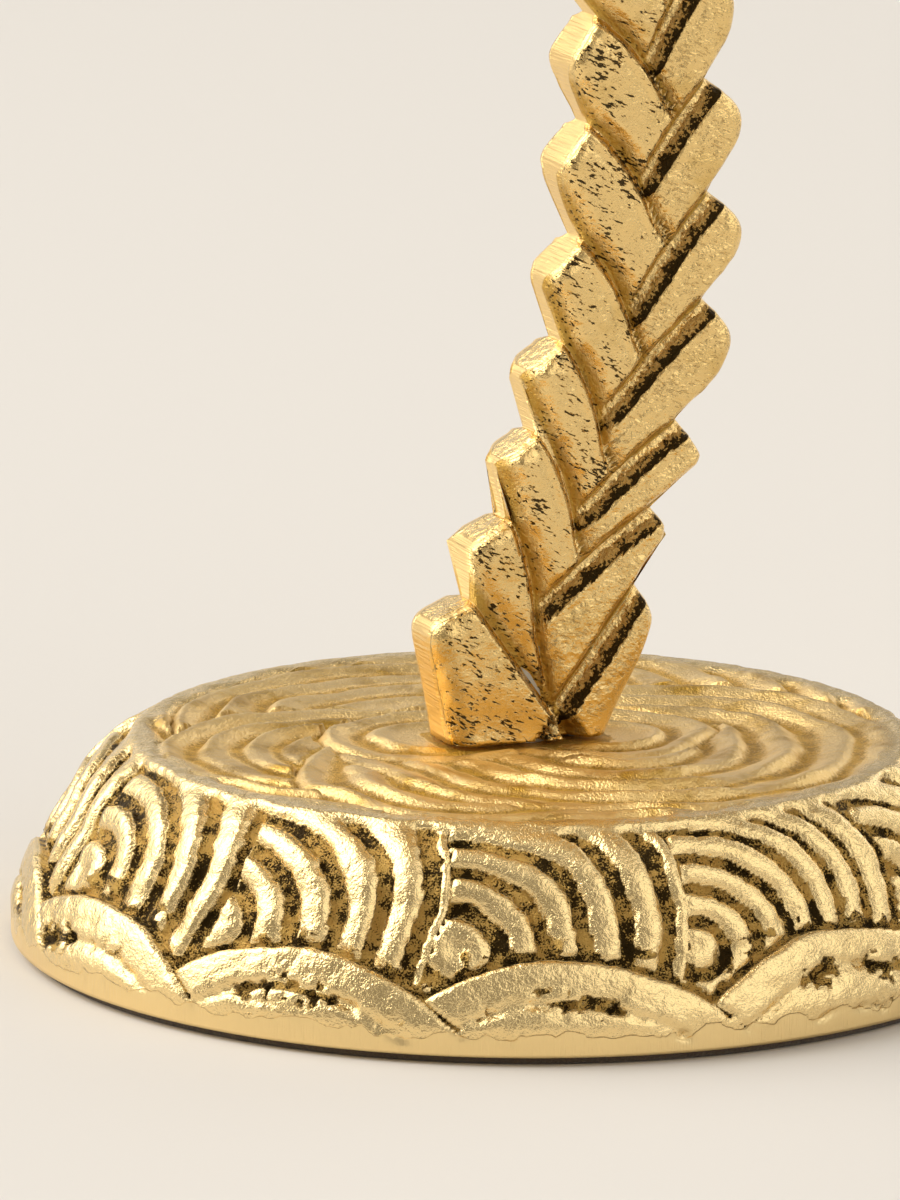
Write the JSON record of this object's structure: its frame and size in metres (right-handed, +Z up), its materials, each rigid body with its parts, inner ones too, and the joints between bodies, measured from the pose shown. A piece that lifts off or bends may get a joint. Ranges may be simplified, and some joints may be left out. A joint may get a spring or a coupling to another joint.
{
  "type": "candle holder",
  "caption": "Gold cast candle holder: wave-carved round base, swaying chevron-scaled trunk and a crown of fronds round a lift-out candle ring.",
  "frame": {"origin": "centre of the felt pad's underside, on the surface that the holder stands on", "axes": "+Z up through the candle; the trunk is a plate in the XZ plane, carved face towards -Y, and it sways towards +X"},
  "size_m": [0.1222, 0.1222, 0.2243],
  "materials": {
    "cast_gold": "sand cast, gold plated",
    "turned_gold": "turned, gold plated, satin",
    "steel": "zinc plated",
    "felt": "black felt"
  },
  "bodies": {
    "stand": {"base": "cast_gold", "felt_pad": "felt", "foot_screw": "steel", "foot_washer": "steel", "foot_lock_washer": "steel", "foot_pin": "steel", "trunk": "cast_gold", "crown_hub": "cast_gold", "crown_pin": "steel", "crown_cap": "cast_gold", "frond_1": "cast_gold", "frond_2": "cast_gold", "frond_3": "cast_gold", "frond_4": "cast_gold", "frond_5": "cast_gold", "frond_6": "cast_gold", "frond_7": "cast_gold", "frond_8": "cast_gold", "candle_cup": "turned_gold", "cup_washer": "steel", "cup_screw": "steel"},
    "candle_ring": {"candle_ring": "turned_gold"}
  },
  "joints": [
    {"name": "ring_lift", "type": "slide", "parent": "stand", "child": "candle_ring", "axis": [0, 0, 1], "range_m": [0, 0.03]}
  ]
}
